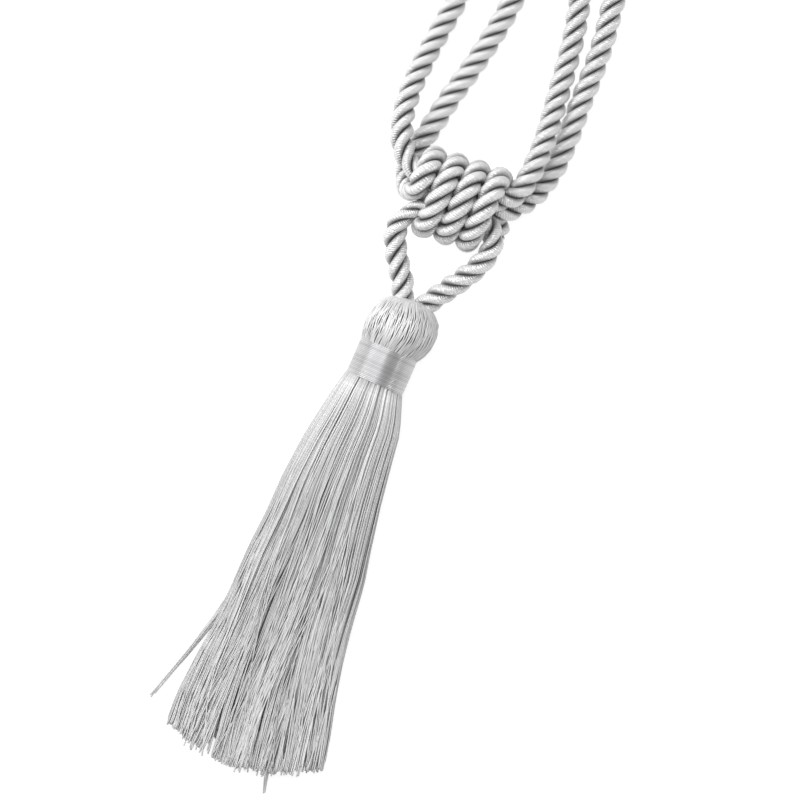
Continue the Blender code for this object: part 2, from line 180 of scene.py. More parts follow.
# %% The right arm, out to its loop's end and back to where the rope ends inside the core
RIGHT_ARM = (
    (0.0, RUN_SIDE, FRONT_RUN, 0.98),
    (7.6, RUN_SIDE, FRONT_RUN, 0.98),
    (13.4, 4.9, 20.6, 0.95),
    (19.4, 8.4, 19.4, 0.95),
    (22.6, 15.6, 17.6, 1.0),
    (24.2, 26.0, 14.6, 1.0),
    (24.9, 38.0, 10.8, 1.0),
    (24.6, 50.5, 7.2, 1.0),
    (24.2, 63.8, 5.2, 1.0),
    (23.4, 78.1, 4.3, 1.0),
    (21.6, 91.8, ON_SURFACE, 1.0),
    (19.8, 112.0, ON_SURFACE, 1.0),
    (19.2, 140.0, ON_SURFACE, 1.0),
    (19.0, 172.0, ON_SURFACE, 1.0),
    (17.9, 205.0, ON_SURFACE, 1.0),
    (16.8, 230.0, ON_SURFACE, 1.0),
    (17.2, 249.0, ON_SURFACE, 1.0),
    (22.8, 262.8, ON_SURFACE, 1.0),
    (36.2, 268.4, ON_SURFACE, 1.0),
    (49.4, 262.4, ON_SURFACE, 1.0),
    (54.8, 248.0, ON_SURFACE, 1.0),
    (53.4, 216.0, ON_SURFACE, 1.0),
    (48.0, 183.0, ON_SURFACE, 1.0),
    (41.5, 150.0, ON_SURFACE, 1.0),
    (36.2, 118.0, ON_SURFACE, 1.0),
    (34.6, 95.7, ON_SURFACE, 1.0),
    (35.4, 81.9, ON_SURFACE, 1.0),
    (35.2, 67.2, ON_SURFACE, 1.0),
    (34.2, 52.5, ON_SURFACE, 1.0),
    (33.6, 37.8, ON_SURFACE, 1.0),
    (31.6, 23.4, 4.9, 1.0),
    (27.8, 12.8, 7.4, 1.0),
    (22.4, 5.4, 10.8, 0.95),
    (16.4, 1.0, 13.2, 0.95),
    (10.0, 0.0, BACK_RUN, 0.98),
    (2.0, 0.0, BACK_RUN, 0.98),
    (-6.0, 0.0, BACK_RUN, 0.98),
)
print("right arm:", len(RIGHT_ARM), "places, out to", max(place[1] for place in RIGHT_ARM), "mm")

# %% The tassel's hanging loop, from inside the head through the knot's core and back
HANGING_LOOP = (
    (-11.6, -52.5, 15.0, 1.0),
    (-10.5, -43.5, 15.0, 1.0),
    (-12.4, -37.5, 15.4, 1.0),
    (-16.4, -30.5, 16.4, 1.0),
    (-19.6, -24.0, 18.0, 1.0),
    (-21.2, -17.6, 19.6, 1.0),
    (-20.4, -13.8, 20.6, 0.90),
    (-17.6, -9.9, 20.8, 0.77),
    (-14.6, -6.7, 20.6, 0.78),
    (-10.8, -4.9, 20.5, 0.88),
    (-4.0, -RUN_SIDE, FRONT_RUN, 0.98),
    (3.0, -RUN_SIDE, FRONT_RUN, 0.98),
    (9.4, -RUN_SIDE, FRONT_RUN, 0.98),
    (14.6, -6.8, 21.4, 0.93),
    (17.4, -12.8, 23.2, 0.91),
    (15.6, -20.0, 23.4, 0.96),
    (10.2, -28.8, 20.8, 1.0),
    (3.6, -37.2, 17.0, 1.0),
    (-1.0, -43.6, 15.2, 1.0),
    (-2.2, -52.5, 15.0, 1.0),
)
print("hanging loop:", len(HANGING_LOOP), "places")


# %% One smooth curve through a route's places
FINER = 4  # how many points of the first curve there are to each even step


def smooth_route(places, step):
    """Points about step apart on a smooth curve through every place, evenly spaced along it."""
    route = np.array(places, float)
    span = np.linalg.norm(np.diff(route[:, :3], axis=0), axis=1)
    start = np.concatenate([[0.0], np.cumsum(span)])
    slope = np.diff(route, axis=0) / span[:, None]
    before, after = span[:-1, None], span[1:, None]
    tangent = np.empty_like(route)
    tangent[0], tangent[-1] = slope[0], slope[-1]
    tangent[1:-1] = (slope[:-1] * after + slope[1:] * before) / (before + after)
    along = np.linspace(0.0, start[-1], int(start[-1] / step * FINER))
    i = np.clip(np.searchsorted(start, along, side="right") - 1, 0, len(span) - 1)
    length = span[i][:, None]
    t = (along - start[i])[:, None] / length
    fine = (2 * t**3 - 3 * t**2 + 1) * route[i] + (t**3 - 2 * t**2 + t) * length * tangent[i]
    fine += (3 * t**2 - 2 * t**3) * route[i + 1] + (t**3 - t**2) * length * tangent[i + 1]
    way = np.concatenate([[0.0], np.cumsum(np.linalg.norm(np.diff(fine[:, :3], axis=0), axis=1))])
    even = np.linspace(0.0, way[-1], int(way[-1] / step) + 1)
    return np.stack([np.interp(even, way, column) for column in fine.T], axis=1)


ROPE_STEP = 1.25
LIFT = np.array([0.0, 0.0, 0.65, 0.0])  # the strands' crests stand proud of the plain solid, also below
TUCKED = 3  # the tail's last points, hidden under the right arm, are left off
TAIL_GIRTH = (0.5, 0.8, 0.95)  # the tail is drawn in at its end

rope_route = smooth_route(np.concatenate([winding(), LEFT_ARM, RIGHT_ARM]), ROPE_STEP)[TUCKED:] + LIFT
rope_route[: len(TAIL_GIRTH), 3] *= TAIL_GIRTH
loop_route = smooth_route(HANGING_LOOP, ROPE_STEP) + LIFT


def route_length(route):
    return np.linalg.norm(np.diff(route[:, :3], axis=0), axis=1).sum()


print("rope", round(route_length(rope_route)), "mm, hanging loop", round(route_length(loop_route)), "mm")

# %% [markdown]
# ## Drawing many tubes at once
#
# Rope strands and threads are all long thin tubes. Blender's curves can draw them, but thousands of curve
# objects are slow, and a curve's section can't be shaped. So one helper builds a mesh straight from rings
# of points. It also lays down a map: how far each point is along its thread, and how far round it. The
# thread's own twist is drawn with that map. Every point has a tone too, from 0 in a deep gap to 1 on a
# bright crest: it holds the thread's own grey and the painted shade of gaps and grooves.


# %% A mesh from rings of points
def tube_faces(tubes, rings, sides):
    """Four corners for every face between neighbouring rings of each tube."""
    ring = np.arange(sides)
    here = np.stack([ring, (ring + 1) % sides], axis=1)
    quad = np.concatenate([here, here[:, ::-1] + sides], axis=1)
    rows = np.arange(tubes)[:, None] * rings + np.arange(rings - 1)[None, :]
    starts = rows.reshape(-1, 1, 1) * sides
    return (quad[None] + starts).reshape(-1, 4)


def tube_map(tubes, rings, sides, along):
    """Round (0 to 1) and along (millimetres) for the corners of every face; along is tubes x rings."""
    ring = np.arange(sides)
    around = np.stack([ring, ring + 1, ring + 1, ring], axis=1) / sides
    first, second = along[:, :-1, None], along[:, 1:, None]
    distance = np.concatenate([first, first, second, second], axis=2)
    around = np.broadcast_to(around, (tubes, rings - 1, sides, 4))
    distance = np.broadcast_to(distance[:, :, None, :], around.shape)
    return np.stack([around, distance], axis=-1).reshape(-1, 2)


print("a thread of 3 rings and 4 sides has", len(tube_faces(1, 3, 4)), "side faces")


# %% One object from many tubes
def tubes_mesh(name, rings, tone, along):
    """One object from tubes x rings x sides x 3 points in millimetres, with closed ends."""
    tubes, count, sides, _ = rings.shape
    faces = tube_faces(tubes, count, sides)
    corners = tube_map(tubes, count, sides, along)
    first = np.arange(tubes)[:, None] * count * sides + np.arange(sides)[None, ::-1]
    last = first[:, ::-1] + (count - 1) * sides
    every_face = faces.tolist() + first.tolist() + last.tolist()
    mesh = bpy.data.meshes.new(name)
    mesh.from_pydata(placed(rings).reshape(-1, 3), [], every_face)
    layer = mesh.uv_layers.new(name="thread_map")
    padded = np.zeros((len(mesh.loops), 2))
    padded[: len(corners)] = corners
    layer.data.foreach_set("uv", padded.ravel())
    # The tone holds each thread's own grey and the painted shade on it.
    attribute = mesh.attributes.new("tone", "FLOAT", "POINT")
    attribute.data.foreach_set("value", np.broadcast_to(tone, rings.shape[:3]).ravel())
    mesh.shade_smooth()
    obj = bpy.data.objects.new(name, mesh)
    bpy.context.scene.collection.objects.link(obj)
    print(f"{name}: {tubes} threads, {2 * len(faces)} triangles")
    return obj


# %% [markdown]
# ## Satin thread
#
# The whole tieback is viscose: smooth, silvery and a little glossy, in a soft mid grey. Four things make it
# here: the stored tone, which runs from a deep grey to a pale one and carries painted shade, a fairly low
# roughness, a little metallic shine, and fine ridges that run round each thread, with painted shade in their
# hollows. The ridges are drawn on the thread's own map, as a wave with some noise in it, because even ridges
# look like a screw's.


# %% Ridges round a thread
RIDGE_STRAY = 0.9  # how far the ridges wander, in ridges
STRAY_SCALE, STRAY_DETAIL = 0.9, 3.0


def sum_node(nodes, operation, factor=0.5):
    """A Math node whose first input meets this factor."""
    node = nodes.new("ShaderNodeMath")
    node.operation = operation
    node.inputs[1].default_value = factor
    return node


def ridge_wave(nodes, links, every, starts):
    """A wave from -1 to 1 over the thread map: one ridge each so many millimetres, in so many starts."""
    thread_map = nodes.new("ShaderNodeUVMap")
    thread_map.uv_map = "thread_map"
    split = nodes.new("ShaderNodeSeparateXYZ")
    links.new(thread_map.outputs["UV"], split.inputs[0])
    turns = sum_node(nodes, "MULTIPLY", starts)
    links.new(split.outputs["X"], turns.inputs[0])
    phase = sum_node(nodes, "MULTIPLY_ADD", 1 / every)
    links.new(split.outputs["Y"], phase.inputs[0])
    links.new(turns.outputs[0], phase.inputs[2])
    uneven = nodes.new("ShaderNodeTexNoise")
    uneven.inputs["Scale"].default_value = STRAY_SCALE
    uneven.inputs["Detail"].default_value = STRAY_DETAIL
    links.new(thread_map.outputs["UV"], uneven.inputs["Vector"])
    strayed = sum_node(nodes, "MULTIPLY_ADD", RIDGE_STRAY)
    links.new(uneven.outputs["Fac"], strayed.inputs[0])
    links.new(phase.outputs[0], strayed.inputs[2])
    angle = sum_node(nodes, "MULTIPLY", 2 * math.pi)
    links.new(strayed.outputs[0], angle.inputs[0])
    wave = sum_node(nodes, "SINE")
    links.new(angle.outputs[0], wave.inputs[0])
    return wave


print("ridges stray by up to", RIDGE_STRAY, "of a ridge")


# %% From deep grey to pale
def grey_of(nodes, links, pale, deep, wave, hollow):
    """The stored tone as a grey, with a little painted shade in the hollows between ridges."""
    tone = nodes.new("ShaderNodeAttribute")
    tone.attribute_name = "tone"
    ramp = nodes.new("ShaderNodeValToRGB")
    ramp.color_ramp.elements[0].color = (*deep, 1)
    ramp.color_ramp.elements[1].color = (*pale, 1)
    links.new(tone.outputs["Fac"], ramp.inputs[0])
    # Painted shade: the grey is darkened in the hollows between the ridges.
    between = nodes.new("ShaderNodeMapRange")
    between.inputs["From Min"].default_value = -1.0
    between.inputs["To Min"].default_value = hollow
    links.new(wave.outputs[0], between.inputs["Value"])
    shade = nodes.new("ShaderNodeMix")
    shade.data_type = "RGBA"
    shade.blend_type = "MULTIPLY"
    shade.inputs["Factor"].default_value = 1.0
    links.new(ramp.outputs[0], shade.inputs[6])
    links.new(between.outputs[0], shade.inputs[7])
    return shade.outputs[2]


# %% A satin thread material
GLOSS = 0.55
SHEEN, SHEEN_ROUGHNESS = 0.12, 0.4
RIDGE_STRENGTH = 0.9


def satin_thread(name, pale, deep, ridge, shine):
    """A material with its two greys, its ridges and its shine.

    ridge: millimetres from one to the next, starts, height in millimetres, how pale the painted shade leaves
    the hollows
    shine: metallic, roughness
    """
    every, starts, height, hollow = ridge
    material = bpy.data.materials.new(name)
    material.use_nodes = True
    nodes, links = material.node_tree.nodes, material.node_tree.links
    shader = nodes["Principled BSDF"]
    shader.inputs["Metallic"].default_value, shader.inputs["Roughness"].default_value = shine
    shader.inputs["Specular IOR Level"].default_value = GLOSS
    shader.inputs["Sheen Weight"].default_value = SHEEN
    shader.inputs["Sheen Roughness"].default_value = SHEEN_ROUGHNESS
    wave = ridge_wave(nodes, links, every, starts)
    bump = nodes.new("ShaderNodeBump")
    bump.inputs["Strength"].default_value = RIDGE_STRENGTH
    bump.inputs["Distance"].default_value = height * MM
    links.new(wave.outputs[0], bump.inputs["Height"])
    links.new(bump.outputs[0], shader.inputs["Normal"])
    links.new(grey_of(nodes, links, pale, deep, wave, hollow), shader.inputs["Base Color"])
    print(name, "has", len(nodes), "nodes")
    return material


# %% [markdown]
# ## The twisted rope
#
# The rope has three plump strands laid round each other to the right, like the middle stroke of a Z, one
# full twist every 21 mm. Each strand is a soft core wrapped in fine satin thread, almost straight across
# it. A texture on a plain tube would look flat at the edges, where real strands bulge, so the three strands
# are modelled. Two directions that never spin are carried along the route, and the strands turn against
# them.

# %% Rope sizes
ROPE_CREST = 4.8  # from the rope's middle to its strands' crests
ROPE_LAY = 21.0
STRAND_OUT = 2.55  # from the rope's middle to each strand's
STRAND_DEEP = ROPE_CREST - STRAND_OUT
STRAND_WIDE = 2.6  # half a strand's width; its depth is less, where it presses on the others
STRAND_SIDES = 16
STRAND_LONGER = 1.27  # how much longer a strand is than its rope
# Painted shade round each strand: its tone is low in the grooves between strands and rises to full on its
# crest.
GROOVE_EDGE, GROOVE_SPAN = -0.45, 1.2  # round a strand, where its tone starts to rise and over how much


def steady_frame(points):
    """Two directions across the route at each point, which don't spin about it."""
    ahead = np.gradient(points, axis=0)
    ahead /= np.linalg.norm(ahead, axis=1)[:, None]
    across = np.empty_like(ahead)
    start = np.cross(ahead[0], (0.3, 0.2, 1.0))
    across[0] = start / np.linalg.norm(start)
    for i in range(1, len(points)):
        moved = across[i - 1] - ahead[i] * across[i - 1].dot(ahead[i])
        across[i] = moved / np.linalg.norm(moved)
    return across, np.cross(ahead, across)


print("rope, mm across its crests:", 2 * ROPE_CREST)


# %% Lay three strands round a route
def rope_rings(route, first_twist):
    """Rings of points of the three strands, a tone that paints shade into the grooves, and the way along."""
    across, over = steady_frame(route[:, :3])
    way = np.concatenate([[0.0], np.cumsum(np.linalg.norm(np.diff(route[:, :3], axis=0), axis=1))])
    round_it = np.linspace(0, 2 * math.pi, STRAND_SIDES, endpoint=False)
    painted_groove_shade = np.clip((np.cos(round_it) - GROOVE_EDGE) / GROOVE_SPAN, 0, 1)
    rings, tones = [], []
    for strand in range(3):
        turn = first_twist + 2 * math.pi * (way / ROPE_LAY + strand / 3)
        outward = np.cos(turn)[:, None] * across + np.sin(turn)[:, None] * over
        sideways = -np.sin(turn)[:, None] * across + np.cos(turn)[:, None] * over
        out = STRAND_OUT + STRAND_DEEP * np.cos(round_it)
        side = STRAND_WIDE * np.sin(round_it)
        girth = route[:, 3, None, None]
        ring = route[:, None, :3] + girth * out[None, :, None] * outward[:, None, :]
        rings.append(ring + girth * side[None, :, None] * sideways[:, None, :])
        tones.append(np.broadcast_to(painted_groove_shade, ring.shape[:2]))
    along = np.broadcast_to(way * STRAND_LONGER, (3, len(way)))
    return np.stack(rings), np.stack(tones), along


print("points in the rope's route:", len(rope_route))


# %% A rope that stands for a solid
def make_rope(name, node, route, first_twist, material):
    rings, tones, along = rope_rings(route, first_twist)
    rope = tubes_mesh(name, rings, tones, along)
    rope.data.materials.append(material)
    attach(rope, "root")
    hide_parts(node)


# %% Make the rope and the hanging loop
ROPE_TWIST, LOOP_TWIST = 0.4, 1.2  # how far the strands are turned at each route's start
PALE_SATIN = (0.90, 0.90, 0.905)
# The rope's deep grey is the painted shade in its grooves.
ROPE_GROOVE_SHADE = (0.12, 0.12, 0.125)
ROPE_RIDGE = (0.88, 2, 0.12, 0.80)
ROPE_SHINE = (0.30, 0.30)

rope_satin = satin_thread("rope_satin", PALE_SATIN, ROPE_GROOVE_SHADE, ROPE_RIDGE, ROPE_SHINE)
make_rope("twisted_rope", "rope", rope_route, ROPE_TWIST, rope_satin)
make_rope("hanging_loop_rope", "hanging_loop", loop_route, LOOP_TWIST, rope_satin)

# %% [markdown]
# ## The tassel's shape
#
# A tassel is a hank of thread, folded over at the top and bound at the neck. The fold makes the round head.
# Below the binding the threads fan out, and on a table they spread flat. The table below gives the outline
# section by section, and every thread keeps its own place in it from the neck to the cut end.

# %% Sections of the tassel, from the crown of the head to the cut end
# x, y, turned (degrees), half width, widest at, underside, top, how flat it lies (1 is round)
HEAD = (
    (-6.6, -43.0, 0.0, 4.5, 15.0, 10.5, 19.5, 1.0),
    (-7.0, -44.2, 0.0, 8.6, 15.0, 6.4, 23.6, 1.0),
    (-7.2, -46.4, 0.0, 11.4, 14.8, 3.2, 26.2, 1.0),
    (-7.0, -50.0, 2.0, 13.7, 14.5, 0.7, 28.2, 1.0),
    (-7.2, -54.5, 1.0, 14.6, 14.4, 0.0, 29.0, 1.03),
    (-7.7, -59.0, -2.0, 14.3, 14.2, 0.0, 28.5, 1.03),
    (-8.6, -62.2, -5.0, 13.4, 13.8, 0.3, 27.1, 1.0),
    (-9.3, -64.3, -6.5, 12.2, 13.4, 1.2, 25.6, 1.0),
    (-9.5, -66.0, -6.5, 11.4, 13.4, 2.0, 24.8, 1.0),
)
SKIRT = (
    (-11.0, -78.0, -6.5, 11.4, 13.4, 2.0, 24.8, 1.0),
    (-11.2, -80.1, -6.5, 12.1, 13.3, 1.2, 25.4, 1.0),
    (-11.3, -84.5, -6.0, 13.4, 12.8, 0.6, 25.6, 1.05),
    (-11.5, -93.7, -5.0, 15.9, 11.5, 0.3, 24.6, 1.2),
    (-13.3, -109.0, -3.0, 18.2, 9.6, 0.3, 22.4, 1.4),
    (-14.4, -125.0, -2.0, 20.1, 8.2, 0.3, 20.2, 1.55),
    (-14.7, -142.5, -2.0, 21.9, 7.2, 0.3, 18.0, 1.65),
    (-15.1, -157.0, -1.0, 23.9, 6.4, 0.3, 16.4, 1.7),
    (-15.8, -175.0, -1.0, 25.1, 5.8, 0.3, 14.8, 1.75),
    (-16.3, -190.0, 0.0, 26.5, 5.2, 0.3, 13.6, 1.8),
    (-17.1, -206.0, 0.0, 29.0, 4.8, 0.3, 12.6, 1.8),
    (-17.2, -221.0, 0.0, 31.4, 4.4, 0.3, 11.8, 1.8),
    (-16.6, -243.0, 0.0, 33.2, 4.2, 0.3, 11.2, 1.8),
)


def row_at(rows, y):
    """The section's numbers at any y, between the table's rows; y may be an array."""
    table = np.array(rows)[::-1]
    return [np.interp(y, table[:, 1], table[:, column]) for column in range(table.shape[1])]


def place_in(rows, y, angle, out):
    """The point at this angle round the section at y, a fraction out of the way to its edge."""
    middle_x, _, turned, half_width, widest, underside, top, flatness = row_at(rows, y)
    sine = np.sin(angle)
    across = out * half_width * np.cos(angle)
    up = widest + out * (top - widest) * sine
    down = widest + out * (widest - underside) * np.maximum(sine * flatness, -1.0)
    lean = np.radians(turned)
    x = middle_x + across * np.cos(lean)
    return np.stack([x, y + across * np.sin(lean), np.where(sine > 0, up, down)], axis=-1)


print("head", 2 * HEAD[4][3], "mm across, skirt", 2 * SKIRT[-1][3], "mm at its end")


# %% [markdown]
# ## The inside of the tassel
#
# Between the outer threads one sees only more thread, in shadow. Modelling all of it would cost millions of
# faces for nothing, so a closed body with that shade painted dark into it fills the inside and stops short
# of the cut end.


# %% The inner body, painted dark as shade
INNER_SIDES = 48
INNER_HEAD_Y = np.linspace(-44.4, -66.0, 12)
INNER_SKIRT_Y = np.linspace(-78.0, -226.0, 24)
INNER_HEAD_OUT = np.full(12, 0.93)  # how far out it reaches: 1 is the outline
INNER_SKIRT_OUT = 0.90 - 0.22 * (np.arange(24) / 23) ** 2
# The inner body's low tone is painted shade.
INNER_SHADE_TONE = 0.3


def inner_rings(rows, ys, outs):
    angle = np.linspace(0, 2 * math.pi, INNER_SIDES, endpoint=False)
    return [place_in(rows, np.full(INNER_SIDES, y), angle, out) for y, out in zip(ys, outs)]


rings = inner_rings(HEAD, INNER_HEAD_Y, INNER_HEAD_OUT)
rings += inner_rings(SKIRT, INNER_SKIRT_Y, INNER_SKIRT_OUT)
along = np.concatenate([-INNER_HEAD_Y, -INNER_SKIRT_Y])[None]
body = tubes_mesh("inner_shade_body", np.array(rings)[None], INNER_SHADE_TONE, along)
# A dark material that paints the shade between the inner threads.
shadowed = satin_thread(
    "inner_painted_shade",
    pale=(0.25, 0.25, 0.26),
    deep=(0.12, 0.12, 0.125),
    ridge=(0.9, 90, 0.1, 0.6),
    shine=(0.0, 0.6),
)
body.data.materials.append(shadowed)
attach(body, "root")
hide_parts("tassel")

# %% [markdown]
# ## Laying threads
#
# A thread is a tube with few sides, because it is little more than half a millimetre thick. What makes a
# bundle look real is not each thread but how they lie: slightly apart, drifting together into locks and now
# and then crossing. So the helpers below only turn middle lines into tubes, and the lines are made with
# care afterwards. They also paint shade on a thread's sides, deeper than its crest, where its neighbours
# would shade it. That painted shade starts gently where the threads are packed tight, and the cut tips are
# paler again.


# %% Tubes round many middle lines
def thread_rings(lines, radius, sides, outward):
    """Rings round threads x points x 3 middle lines; outward is the direction the first side faces."""
    ahead = np.gradient(lines, axis=1)
    ahead /= np.linalg.norm(ahead, axis=2)[..., None]
    side = np.cross(ahead, outward)
    side /= np.linalg.norm(side, axis=2)[..., None]
    up = np.cross(side, ahead)
    angle = np.linspace(0, 2 * math.pi, sides, endpoint=False)
    spoke = np.cos(angle)[:, None] * up[:, :, None, :]
    spoke += np.sin(angle)[:, None] * side[:, :, None, :]
    return lines[:, :, None, :] + np.asarray(radius)[..., None, None] * spoke


print("one ring, as a check:", thread_rings(np.eye(3)[None], np.ones((1, 3)), 4, (0, 0, 1.0)).shape)

# %% A painted shade for each thread's sides, and the threads themselves
# A thread's sides get painted shade, darkened towards the deep grey, where its neighbours would shade it.
THREAD_SHADE = 0.97  # how far a thread's sides fall from its own tone to the deep one
SHADE_FROM, SHADE_TO = 0.35, 2.2  # how much of that there is at the start, and how soon it is whole
TIP_SHADE = 0.3


def painted_side_shade(sides, depth):
    """Painted shade: full tone where a thread faces out, and less where it meets its neighbours."""
    facing = 0.5 + 0.5 * np.cos(np.linspace(0, 2 * math.pi, sides, endpoint=False))
    return 1 - depth * (1 - facing**2)


def lay_threads(name, lines, radius, sides, outward, tone, material):
    rings = thread_rings(lines, radius, sides, outward)
    shaded = np.clip(np.linspace(SHADE_FROM, SHADE_TO, lines.shape[1]), 0, 1)[None, :, None]
    shaded[:, -1] = TIP_SHADE
    tone = tone * (1 - shaded * (1 - painted_side_shade(sides, THREAD_SHADE)))
    gaps = np.linalg.norm(np.diff(lines, axis=1), axis=2)
    along = np.concatenate([np.zeros((len(lines), 1)), np.cumsum(gaps, axis=1)], axis=1)
    threads = tubes_mesh(name, rings, tone, along)
    threads.data.materials.append(material)
    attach(threads, "root")
    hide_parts("tassel")


random = np.random.default_rng(7)
# The deep grey is the darker end of the threads' own tones and also their painted side shade.
THREAD_DEEP = (0.07, 0.07, 0.073)
THREAD_RIDGE = (1.7, 3, 0.02, 0.93)
THREAD_SHINE = (0.15, 0.38)
loose_thread = satin_thread("loose_thread", PALE_SATIN, THREAD_DEEP, THREAD_RIDGE, THREAD_SHINE)

# %% [markdown]
# ## The head
#
# The folded threads run over the head from its crown to the neck, side by side, like lines of longitude. At
# the crown they leave a small pit, where the hanging loop's two legs go in. Each thread wavers a little
# from side to side and sinks a little here and there, or the head would look like a ribbed ball.


# %% Threads over the head
HEAD_THREADS = 200
HEAD_RADIUS, HEAD_SIDES = 0.31, 6
HEAD_POINTS = 26
CROWN_Y, HEAD_LONG = -43.3, 22.4
HEAD_OUT, HEAD_WAVER, HEAD_SUNK = 0.975, 0.024, 0.012


def head_lines(count):
    """Middle lines from the crown to the neck, and the directions that face out of the head."""
    part = np.linspace(0, 1, HEAD_POINTS)
    angle = np.linspace(0, 2 * math.pi, count, endpoint=False)[:, None]
    angle = angle + random.normal(0, 0.3 / count, (count, 1))
    angle = angle + HEAD_WAVER * np.sin(part * random.uniform(4, 16, (count, 1)))
    down = part**1.5
    y = CROWN_Y - HEAD_LONG * down + random.normal(0, 0.1, (count, 1)) * (1 - down)
    dips = part * random.uniform(6, 20, (count, 1))
    sunk = HEAD_SUNK * np.sin(dips + random.uniform(0, 6, (count, 1)))
    lines = place_in(HEAD, y, angle, HEAD_OUT + sunk)
    return lines, lines - place_in(HEAD, y, angle, 0.0) + (0, 1e-3, 0)


lines, outward = head_lines(HEAD_THREADS)
tone = random.uniform(0.70, 1.0, (HEAD_THREADS, 1, 1))
radius = np.full(lines.shape[:2], HEAD_RADIUS)
lay_threads("head_threads", lines, radius, HEAD_SIDES, outward, tone, loose_thread)

# %% [markdown]
# ## The neck band
#
# The neck is bound with glossier thread, wound so tightly that the turns touch. It is modelled as it
# is made: one thread in a close helix, from the head down to the skirt. It has the most metallic shine of
# all the threads, so the lights draw pale stripes along the band, and each turn has a tone of its own.
# Each turn also has painted shade on its sides, where it meets the next.

# %% The band's winding
BAND_TURNS, BAND_POINTS = 23, 56  # turns, and points to each turn
BAND_FROM, BAND_TO = np.array((-9.42, -64.55, 13.4)), np.array((-10.98, -79.35, 13.4))
BAND_RADIUS = 12.0
BAND_UNEVEN = 0.05
BAND_DRAWN_IN = 0.35  # how much tighter the first and last turns are


def band_line():
    """The middle line of the wound thread, and the directions that face out of the band."""
    turn = np.linspace(0, BAND_TURNS, BAND_TURNS * BAND_POINTS)
    part = turn / BAND_TURNS
    axis = (BAND_TO - BAND_FROM) / np.linalg.norm(BAND_TO - BAND_FROM)
    flat = np.cross(axis, (0, 0, 1))
    radius = BAND_RADIUS + BAND_UNEVEN * np.sin(2.4 * turn)
    radius -= BAND_DRAWN_IN * (np.exp(-40 * part) + np.exp(-40 * (1 - part)))
    spoke = np.cos(2 * math.pi * turn)[:, None] * flat
    spoke = spoke + np.sin(2 * math.pi * turn)[:, None] * np.array((0, 0, 1.0))
    middle = BAND_FROM + (BAND_TO - BAND_FROM) * part[:, None]
    return (middle + radius[:, None] * spoke)[None], spoke[None]


line, spoke = band_line()
print("band, mm across:", round(2 * BAND_RADIUS, 1), "long:", round(np.linalg.norm(BAND_TO - BAND_FROM), 1))

# %% Wind the neck band
BAND_THREAD_RADIUS, BAND_SIDES, BAND_SHADE = 0.335, 8, 0.95
BAND_STEP = 1.35  # millimetres of thread between its points

band_thread = satin_thread(
    "band_thread",
    pale=(0.80, 0.80, 0.81),
    deep=(0.10, 0.10, 0.105),
    ridge=(1.7, 3, 0.01, 0.95),
    shine=(0.78, 0.32),
)
rings = thread_rings(line, np.full(line.shape[:2], BAND_THREAD_RADIUS), BAND_SIDES, spoke)
band_tone = np.repeat(random.uniform(0.75, 1.0, BAND_TURNS), BAND_POINTS)[None, :, None]
# Painted shade where each turn meets its neighbours, on top of each turn's own tone.
band_tone = band_tone * painted_side_shade(BAND_SIDES, BAND_SHADE)
along = np.cumsum(np.full(line.shape[:2], BAND_STEP), axis=1)
band = tubes_mesh("neck_band_winding", rings, band_tone, along)
band.data.materials.append(band_thread)
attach(band, "root")
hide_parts("neck_band")

# %% [markdown]
# ## The skirt
#
# More than a thousand threads hang from the neck. Close under the band they lie side by side. Further down
# they fan out, gather into locks with dark gaps between, and a few cross over the rest. The ends are cut by
# hand, so no two are quite level. Each thread gets a place in the neck, drifts from it a little, and ends
# where it ends. The skirt is laid in four layers, from the threads that cross on top of all the others to
# those deep inside.

# %% How the skirt's locks wander
SKIRT_POINTS = 28
TOP_Y, END_Y = -78.2, -241.5
END_BOW = 0.0085  # how the cut end curves towards the neck at its sides
LOCK_ENDS, THREAD_ENDS = 1.4, 0.5  # how unevenly locks and threads are cut, in millimetres
SKIRT_TONE, TONE_OF_THREADS, TONE_OF_LOCKS = 0.84, 0.12, 0.06


def lock_sway(rng, locks, part, sway):
    """How each lock of threads wanders, as angle round the skirt, along its length."""
    own = rng.normal(0, 1, (locks, 4))
    slow = own[:, :1] * np.sin(1.9 * part + 0.5 * own[:, 1:2])
    return sway * (slow + 0.5 * own[:, 2:3] * np.sin(4.6 * part + 3 * own[:, 3:]))


print("skirt, mm from the neck to the cut end:", round(TOP_Y - END_Y, 1))


